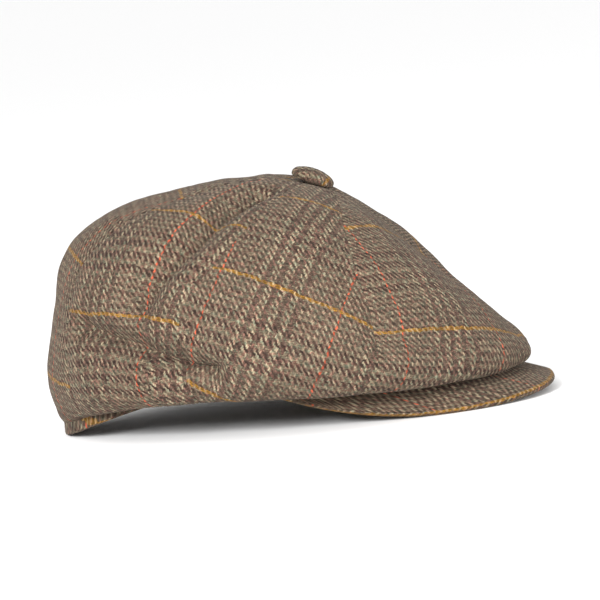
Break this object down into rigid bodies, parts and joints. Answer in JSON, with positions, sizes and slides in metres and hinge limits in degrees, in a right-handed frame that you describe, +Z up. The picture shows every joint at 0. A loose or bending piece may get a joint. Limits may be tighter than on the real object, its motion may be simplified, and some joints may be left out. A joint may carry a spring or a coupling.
{
  "type": "flat cap",
  "caption": "Paneled cloth flat cap in glen-check tweed with a full, softly folded crown, covered top button, narrow hem binding and a short arched peak",
  "frame": {"origin": "middle of the bounding box in plan, at the height of the surface the cap stands on", "axes": "+X forward to the peak, +Y to the wearer's left, +Z up"},
  "size_m": [0.2793, 0.2454, 0.1349],
  "materials": {
    "tweed": "woven wool, glen check in dark brown and oatmeal with rust and mustard overcheck lines",
    "tweed_binding": "narrow folded strip of the same tweed with a mustard line along it"
  },
  "bodies": {
    "root": {"panel_front_right": "tweed", "panel_side_front_right": "tweed", "panel_side_back_right": "tweed", "panel_back_right": "tweed", "panel_back_left": "tweed", "panel_side_back_left": "tweed", "panel_side_front_left": "tweed", "panel_front_left": "tweed", "button": "tweed", "peak": "tweed", "hem_band": "tweed_binding"}
  },
  "joints": []
}
